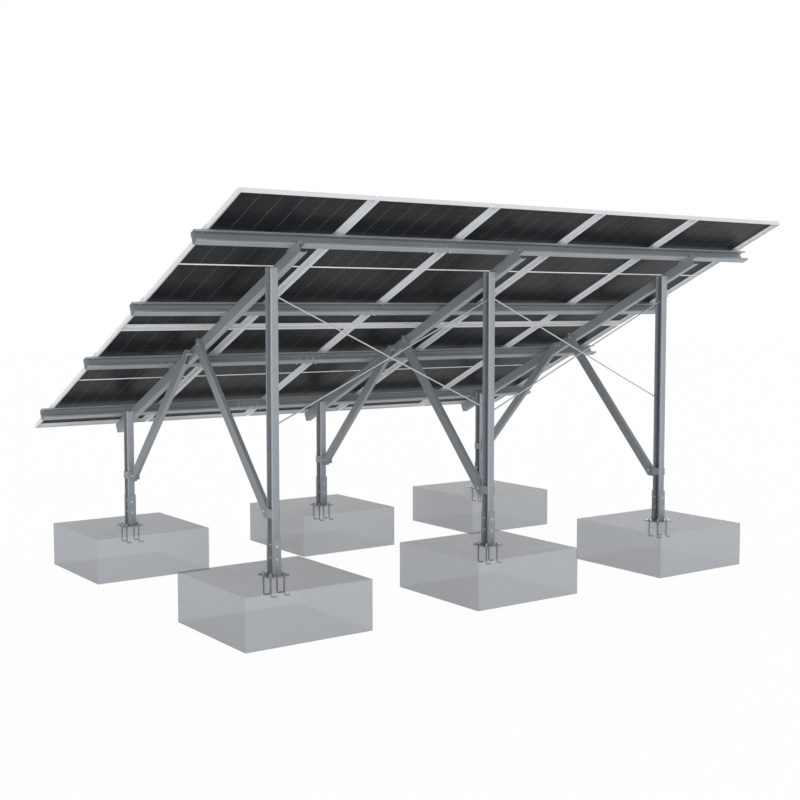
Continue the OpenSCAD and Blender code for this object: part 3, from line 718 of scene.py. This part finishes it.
def half_cell_laminate(field, finish):
    """Two panes of glass with half cells between them: near black, with clear glass between the cells, where the light
    through the glass is painted.
    """
    material, tree, place = new_material("glass_laminate_with_half_cells")
    across, down = field_place(tree, place, field)
    half_width = field.cell_columns / 2 * field.cell_pitch
    half_length = field.cell_rows * field.half_cell_pitch
    # The cells of both halves are counted from the strip in the middle
    from_middle = add_node(
        tree, "ShaderNodeMath", {"operation": "SUBTRACT"}, {0: down, 1: field.module_length / 2}
    )
    mirrored = add_node(tree, "ShaderNodeMath", {"operation": "ABSOLUTE"}, {0: from_middle.outputs[0]})
    # Cells are drawn as bricks; their rows are stretched, which narrows the gap between rows
    stretch = field.cell_gap / field.row_gap
    column = add_node(
        tree,
        "ShaderNodeMath",
        {"operation": "SUBTRACT"},
        {0: across, 1: field.module_width / 2 - half_width},
    )
    row = add_node(
        tree,
        "ShaderNodeMath",
        {"operation": "MULTIPLY_ADD"},
        {0: mirrored.outputs[0], 1: stretch, 2: -stretch * field.middle_gap / 2},
    )
    grid = add_node(
        tree, "ShaderNodeCombineXYZ", None, {"X": column.outputs[0], "Y": row.outputs[0]}
    )
    brick_inputs = {
        "Vector": grid.outputs["Vector"],
        "Scale": 1.0,
        "Mortar Size": field.cell_gap / 2,
        "Mortar Smooth": 0.0,
        "Brick Width": field.cell_pitch,
        "Row Height": field.half_cell_pitch * stretch,
        # The gaps between cells take painted light
        "Mortar": shade(finish.cell_gap_light),
    }
    back = add_node(
        tree,
        "ShaderNodeTexBrick",
        {"offset": 0.0},
        brick_inputs | {"Color1": shade(finish.cell_back, 0.9), "Color2": shade(finish.cell_back, 1.1)},
    )
    front = add_node(
        tree,
        "ShaderNodeTexBrick",
        {"offset": 0.0},
        brick_inputs | {"Color1": shade(finish.cell_front, 0.8), "Color2": shade(finish.cell_front, 1.25)},
    )
    wire_place = add_node(
        tree, "ShaderNodeMath", {"operation": "PINGPONG"}, {0: column.outputs[0], 1: field.wire_pitch / 2}
    )
    wire = add_node(
        tree,
        "ShaderNodeMath",
        {"operation": "LESS_THAN"},
        {0: wire_place.outputs[0], 1: field.wire_width / 2},
    )
    wired = add_node(
        tree,
        "ShaderNodeMix",
        {"data_type": "RGBA"},
        {0: wire.outputs[0], 6: front.outputs["Color"], 7: shade(finish.wire)},
    )
    geometry = add_node(tree, "ShaderNodeNewGeometry")
    normal = add_node(tree, "ShaderNodeSeparateXYZ", None, {"Vector": geometry.outputs["Normal"]})
    sunward = add_node(
        tree, "ShaderNodeMath", {"operation": "GREATER_THAN"}, {0: normal.outputs["Z"], 1: 0.0}
    )
    cells = add_node(
        tree,
        "ShaderNodeMix",
        {"data_type": "RGBA"},
        {0: sunward.outputs[0], 6: back.outputs["Color"], 7: wired.outputs[2]},
    )
    # Outside the cells lies the dark seal under the frame
    in_width = add_node(
        tree,
        "ShaderNodeMath",
        {"operation": "COMPARE"},
        {0: across, 1: field.module_width / 2, 2: half_width - field.cell_gap / 2},
    )
    in_length = add_node(
        tree,
        "ShaderNodeMath",
        {"operation": "COMPARE"},
        {0: down, 1: field.module_length / 2, 2: half_length + field.middle_gap / 2},
    )
    in_cells = add_node(
        tree,
        "ShaderNodeMath",
        {"operation": "MULTIPLY"},
        {0: in_width.outputs[0], 1: in_length.outputs[0]},
    )
    bordered = add_node(
        tree,
        "ShaderNodeMix",
        {"data_type": "RGBA"},
        {0: in_cells.outputs[0], 6: shade(finish.cell_back), 7: cells.outputs[2]},
    )
    # The clear strip is painted pale, as painted light through the glass
    strip = add_node(
        tree,
        "ShaderNodeMath",
        {"operation": "COMPARE"},
        {0: down, 1: field.module_length / 2, 2: field.middle_gap / 2},
    )
    finished = add_node(
        tree,
        "ShaderNodeMix",
        {"data_type": "RGBA"},
        {0: strip.outputs[0], 6: bordered.outputs[2], 7: shade(finish.clear_strip_light)},
    )
    # Slow waves in the glass, a metre long
    waves = add_node(tree, "ShaderNodeTexNoise", None, {"Vector": place, "Scale": 1.0, "Detail": 1.0})
    glass = add_node(
        tree,
        "ShaderNodeBump",
        None,
        {"Height": waves.outputs["Fac"], "Strength": 0.02, "Distance": 20 * MM},
    )
    # The glass has an anti-reflection coat and a fine texture, so it mirrors little
    surface = add_node(
        tree,
        "ShaderNodeBsdfPrincipled",
        None,
        {
            "Base Color": finished.outputs[2],
            "Roughness": 0.35,
            "IOR": 1.5,
            "Specular IOR Level": 0.07,
            "Normal": glass.outputs["Normal"],
        },
    )
    add_node(tree, "ShaderNodeOutputMaterial", None, {"Surface": surface.outputs["BSDF"]})
    return material


def anodised_frame(field, finish):
    """Anodised aluminium rails: even satin silver, with die lines, a hairline at each mitred corner and a painted
    highlight on the side walls.
    """
    material, tree, place = new_material("anodised_aluminium_frame")
    across, down = field_place(tree, place, field)
    from_side = add_node(
        tree, "ShaderNodeMath", {"operation": "PINGPONG"}, {0: across, 1: field.module_width / 2}
    )
    from_end = add_node(
        tree, "ShaderNodeMath", {"operation": "PINGPONG"}, {0: down, 1: field.module_length / 2}
    )
    seam = add_node(
        tree,
        "ShaderNodeMath",
        {"operation": "COMPARE"},
        {0: from_side.outputs[0], 1: from_end.outputs[0], 2: 0.5 * MM},
    )
    # Die lines 3 mm apart
    die_lines = add_node(
        tree, "ShaderNodeTexNoise", None, {"Vector": place, "Scale": 1 / (3 * MM), "Detail": 2.0}
    )
    base = add_node(
        tree,
        "ShaderNodeMix",
        {"data_type": "RGBA"},
        {0: die_lines.outputs["Fac"], 6: shade(finish.anodised, 0.99), 7: shade(finish.anodised, 1.01)},
    )
    seamed = add_node(
        tree,
        "ShaderNodeMix",
        {"data_type": "RGBA"},
        {0: seam.outputs[0], 6: base.outputs[2], 7: shade(finish.anodised, 0.25)},
    )
    # The side walls, which face along X, are painted lighter than the flanges: a painted highlight
    geometry = add_node(tree, "ShaderNodeNewGeometry")
    normal = add_node(tree, "ShaderNodeSeparateXYZ", None, {"Vector": geometry.outputs["Normal"]})
    side_highlight_mask = add_node(tree, "ShaderNodeMath", {"operation": "ABSOLUTE"}, {0: normal.outputs["X"]})
    painted_side_highlight = add_node(
        tree,
        "ShaderNodeMix",
        {"data_type": "RGBA"},
        {0: side_highlight_mask.outputs[0], 6: seamed.outputs[2], 7: shade(finish.anodised, 1.2)},
    )
    roughness = add_node(
        tree,
        "ShaderNodeMapRange",
        None,
        {"Value": die_lines.outputs["Fac"], "To Min": 0.4, "To Max": 0.48},
    )
    surface = add_node(
        tree,
        "ShaderNodeBsdfPrincipled",
        None,
        {
            "Base Color": painted_side_highlight.outputs[2],
            "Metallic": DULL_METAL,
            "Roughness": roughness.outputs["Result"],
        },
    )
    add_node(tree, "ShaderNodeOutputMaterial", None, {"Surface": surface.outputs["BSDF"]})
    return material


def extruded_aluminium(tint):
    """Mill finish extrusion: plain aluminium with fine lines from the die."""
    material, tree, place = new_material("mill_finish_aluminium")
    grain = add_node(
        tree, "ShaderNodeTexNoise", None, {"Vector": place, "Scale": 1 / (2 * MM), "Detail": 3.0}
    )
    base = add_node(
        tree,
        "ShaderNodeMix",
        {"data_type": "RGBA"},
        {0: grain.outputs["Fac"], 6: shade(tint, 0.94), 7: shade(tint, 1.06)},
    )
    roughness = add_node(
        tree, "ShaderNodeMapRange", None, {"Value": grain.outputs["Fac"], "To Min": 0.3, "To Max": 0.42}
    )
    surface = add_node(
        tree,
        "ShaderNodeBsdfPrincipled",
        None,
        {"Base Color": base.outputs[2], "Metallic": 0.8, "Roughness": roughness.outputs["Result"]},
    )
    add_node(tree, "ShaderNodeOutputMaterial", None, {"Surface": surface.outputs["BSDF"]})
    return material


class MOUNT_OT_modules(bpy.types.Operator):
    """Give the module frames, laminates and clamps their finishes"""

    bl_idname = "mount.modules"
    bl_label = "Modules"

    def execute(self, context):
        field = context.scene.mount_field
        finish = context.scene.mount_finish
        dress(nodes_named("module_frame"), anodised_frame(field, finish))
        dress(nodes_named("laminates"), half_cell_laminate(field, finish))
        dress(nodes_named("mid_clamps", "end_clamps"), extruded_aluminium(finish.mill_aluminium))
        return {"FINISHED"}


def see_through_concrete(tint, underside_shade_tint):
    """Smooth cast concrete, drawn part see-through so that the hooked anchors show, with painted shade on its
    underside.
    """
    material, tree, place = new_material("cast_concrete_part_clear")
    # Cement clouds of 250 mm and sand of 4 mm
    clouds = add_node(
        tree,
        "ShaderNodeTexNoise",
        None,
        {"Vector": place, "Scale": 1 / (250 * MM), "Detail": 5.0, "Roughness": 0.6},
    )
    sand = add_node(
        tree,
        "ShaderNodeTexNoise",
        None,
        {"Vector": place, "Scale": 1 / (4 * MM), "Detail": 3.0, "Roughness": 0.7},
    )
    tone = add_node(
        tree,
        "ShaderNodeMix",
        {"data_type": "FLOAT"},
        {0: 0.35, 2: clouds.outputs["Fac"], 3: sand.outputs["Fac"]},
    )
    spread = add_node(tree, "ShaderNodeMapRange", None, {"Value": tone.outputs[0]} | NOISE_SPAN)
    base = add_node(
        tree,
        "ShaderNodeMix",
        {"data_type": "RGBA"},
        {0: spread.outputs["Result"], 6: shade(tint, 0.975), 7: shade(tint, 1.025)},
    )
    # The underside, the level face in the lowest 10 mm, is painted darker and a little less see-through: painted shade
    geometry = add_node(tree, "ShaderNodeNewGeometry")
    normal = add_node(tree, "ShaderNodeSeparateXYZ", None, {"Vector": geometry.outputs["True Normal"]})
    upright = add_node(
        tree, "ShaderNodeMath", {"operation": "ABSOLUTE"}, {0: normal.outputs["Z"]}
    )
    parts = add_node(tree, "ShaderNodeSeparateXYZ", None, {"Vector": place})
    low = add_node(tree, "ShaderNodeMath", {"operation": "LESS_THAN"}, {0: parts.outputs["Z"], 1: 10 * MM})
    underside = add_node(
        tree, "ShaderNodeMath", {"operation": "MULTIPLY"}, {0: upright.outputs[0], 1: low.outputs[0]}
    )
    cast = add_node(
        tree,
        "ShaderNodeMix",
        {"data_type": "RGBA"},
        {0: underside.outputs[0], 6: base.outputs[2], 7: shade(underside_shade_tint)},
    )
    alpha = add_node(
        tree, "ShaderNodeMapRange", None, {"Value": underside.outputs[0], "To Min": 0.5, "To Max": 0.54}
    )
    grit = add_node(
        tree,
        "ShaderNodeBump",
        None,
        {"Height": sand.outputs["Fac"], "Strength": 0.04, "Distance": 0.5 * MM},
    )
    surface = add_node(
        tree,
        "ShaderNodeBsdfPrincipled",
        None,
        {
            "Base Color": cast.outputs[2],
            "Roughness": 0.75,
            "Alpha": alpha.outputs["Result"],
            "Normal": grit.outputs["Normal"],
        },
    )
    add_node(tree, "ShaderNodeOutputMaterial", None, {"Surface": surface.outputs["BSDF"]})
    return material


class MOUNT_OT_footings(bpy.types.Operator):
    """Give the footings their see-through concrete"""

    bl_idname = "mount.footings"
    bl_label = "Footings"

    def execute(self, context):
        finish = context.scene.mount_finish
        # The footings' undersides take painted shade
        dress(nodes_named("footing"), see_through_concrete(finish.concrete, finish.concrete_underside_shade))
        return {"FINISHED"}


def far_lamp(name, azimuth, elevation, softness, energy):
    """A soft lamp far away; azimuth 0 lights from -Y, and the angles are in degrees."""
    data = bpy.data.lights.new(name, "SUN")
    data.angle = math.radians(softness)
    data.energy = energy
    lamp = bpy.data.objects.new(name, data)
    lamp.rotation_euler = (math.radians(90 - elevation), 0, math.radians(azimuth))
    bpy.context.scene.collection.objects.link(lamp)


def seen_directly(tree):
    """Output that is 1 for rays of the camera and for rays through or off metal and glass."""
    path = add_node(tree, "ShaderNodeLightPath")
    first = add_node(
        tree,
        "ShaderNodeMath",
        {"operation": "MAXIMUM"},
        {0: path.outputs["Is Camera Ray"], 1: path.outputs["Is Transmission Ray"]},
    )
    either = add_node(
        tree,
        "ShaderNodeMath",
        {"operation": "MAXIMUM"},
        {0: first.outputs[0], 1: path.outputs["Is Glossy Ray"]},
    )
    return either.outputs[0]


def studio_world(settings):
    """Plain light from all sides, shown as white behind the object and in its metal and glass."""
    world = bpy.data.worlds.new("studio")
    bpy.context.scene.world = world
    world.use_nodes = True
    tree = world.node_tree
    tree.nodes.clear()
    # The light of the sky is faintly blue
    light = add_node(
        tree, "ShaderNodeBackground", None, {"Color": (0.95, 0.97, 1, 1), "Strength": settings.sky_light}
    )
    white = add_node(tree, "ShaderNodeBackground", None, {"Color": (1, 1, 1, 1), "Strength": 1.0})
    mix = add_node(
        tree,
        "ShaderNodeMixShader",
        None,
        {0: seen_directly(tree), 1: light.outputs["Background"], 2: white.outputs["Background"]},
    )
    add_node(tree, "ShaderNodeOutputWorld", None, {"Surface": mix.outputs["Shader"]})


def studio_floor(settings):
    """White floor that keeps a faint shadow and meets the white background."""
    bpy.ops.object.select_all(action="DESELECT")
    bpy.ops.mesh.primitive_plane_add(size=settings.floor_size, location=(0, 0, -settings.floor_drop))
    floor = bpy.context.object
    floor.name = "studio_floor"
    material, tree, _ = new_material("white_floor")
    matt = add_node(tree, "ShaderNodeBsdfDiffuse", None, {"Color": (0.8, 0.8, 0.8, 1)})
    white = add_node(tree, "ShaderNodeEmission", None, {"Color": (1, 1, 1, 1), "Strength": 1.0})
    # A small share of the matt floor keeps the shadow
    share = add_node(
        tree,
        "ShaderNodeMath",
        {"operation": "MULTIPLY"},
        {0: seen_directly(tree), 1: settings.floor_white},
    )
    mix = add_node(
        tree,
        "ShaderNodeMixShader",
        None,
        {0: share.outputs[0], 1: matt.outputs["BSDF"], 2: white.outputs["Emission"]},
    )
    add_node(tree, "ShaderNodeOutputMaterial", None, {"Surface": mix.outputs["Shader"]})
    floor.data.materials.append(material)
    # The low lamp shines through the floor
    floor.visible_shadow = False
    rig.stage(floor)


def studio_camera(settings):
    """Camera at the photographed view."""
    data = bpy.data.cameras.new("camera")
    # Width of a small-film frame in millimetres, which the lens follows
    data.sensor_width = 36
    data.lens = data.sensor_width / 2 / math.tan(settings.camera_view / 2)
    data.clip_end = settings.camera_reach
    camera = bpy.data.objects.new("camera", data)
    camera.location = settings.camera_place
    camera.rotation_euler = Euler((math.pi / 2 - settings.camera_elevation, 0, settings.camera_azimuth))
    bpy.context.scene.collection.objects.link(camera)
    bpy.context.scene.camera = camera


class MOUNT_OT_studio(bpy.types.Operator):
    """Add the floor, the lamps, the world and the camera"""

    bl_idname = "mount.studio"
    bl_label = "Studio"

    def execute(self, context):
        settings = context.scene.mount_studio
        context.scene.view_settings.view_transform = "Standard"
        studio_world(settings)
        studio_floor(settings)
        far_lamp("front_lamp", azimuth=-33, elevation=3, softness=25, energy=settings.front_light)
        far_lamp("rear_lamp", azimuth=130, elevation=15, softness=30, energy=settings.rear_light)
        far_lamp("low_lamp", azimuth=-12, elevation=-45, softness=30, energy=settings.low_light)
        far_lamp("top_lamp", azimuth=180, elevation=85, softness=20, energy=settings.top_light)
        studio_camera(settings)
        return {"FINISHED"}


class MOUNT_PT_panel(bpy.types.Panel):
    """Lists the steps and settings of the ground mount"""

    bl_label = "Ground Mount"
    bl_idname = "MOUNT_PT_panel"
    bl_space_type = "VIEW_3D"
    bl_region_type = "UI"
    bl_category = "Ground Mount"

    def draw(self, context):
        scene = context.scene
        for step in STEPS:
            self.layout.operator(step)
        for group in (scene.mount_field, scene.mount_finish, scene.mount_weld, scene.mount_studio):
            for name in group.__annotations__:
                self.layout.prop(group, name)


STEPS = (
    "mount.footings",
    "mount.steelwork",
    "mount.fasteners",
    "mount.welds",
    "mount.modules",
    "mount.studio",
)
CLASSES = (
    FieldSettings,
    FinishSettings,
    WeldSettings,
    StudioSettings,
    MOUNT_OT_footings,
    MOUNT_OT_steelwork,
    MOUNT_OT_fasteners,
    MOUNT_OT_welds,
    MOUNT_OT_modules,
    MOUNT_OT_studio,
    MOUNT_PT_panel,
)


def register():
    """Adds the classes and the scene's settings."""
    for cls in CLASSES:
        bpy.utils.register_class(cls)
    bpy.types.Scene.mount_field = PointerProperty(type=FieldSettings)
    bpy.types.Scene.mount_finish = PointerProperty(type=FinishSettings)
    bpy.types.Scene.mount_weld = PointerProperty(type=WeldSettings)
    bpy.types.Scene.mount_studio = PointerProperty(type=StudioSettings)


def unregister():
    """Removes the scene's settings and the classes."""
    del bpy.types.Scene.mount_field
    del bpy.types.Scene.mount_finish
    del bpy.types.Scene.mount_weld
    del bpy.types.Scene.mount_studio
    for cls in reversed(CLASSES):
        bpy.utils.unregister_class(cls)


def main():
    """Registers the classes, runs each step and writes the boxes of the CAD and of the finished model."""
    register()
    bpy.ops.object.select_all(action="DESELECT")
    bpy.ops.mount.footings()
    bpy.ops.mount.steelwork()
    bpy.ops.mount.fasteners()
    bpy.ops.mount.welds()
    bpy.ops.mount.modules()
    bpy.ops.mount.studio()
    boxes = {"cad": [list(corner) for corner in CAD_BOX], "visual": [list(corner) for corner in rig.bounds()]}
    with open("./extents.json", "w") as file:
        json.dump(boxes, file)


if __name__ == "__main__":
    main()
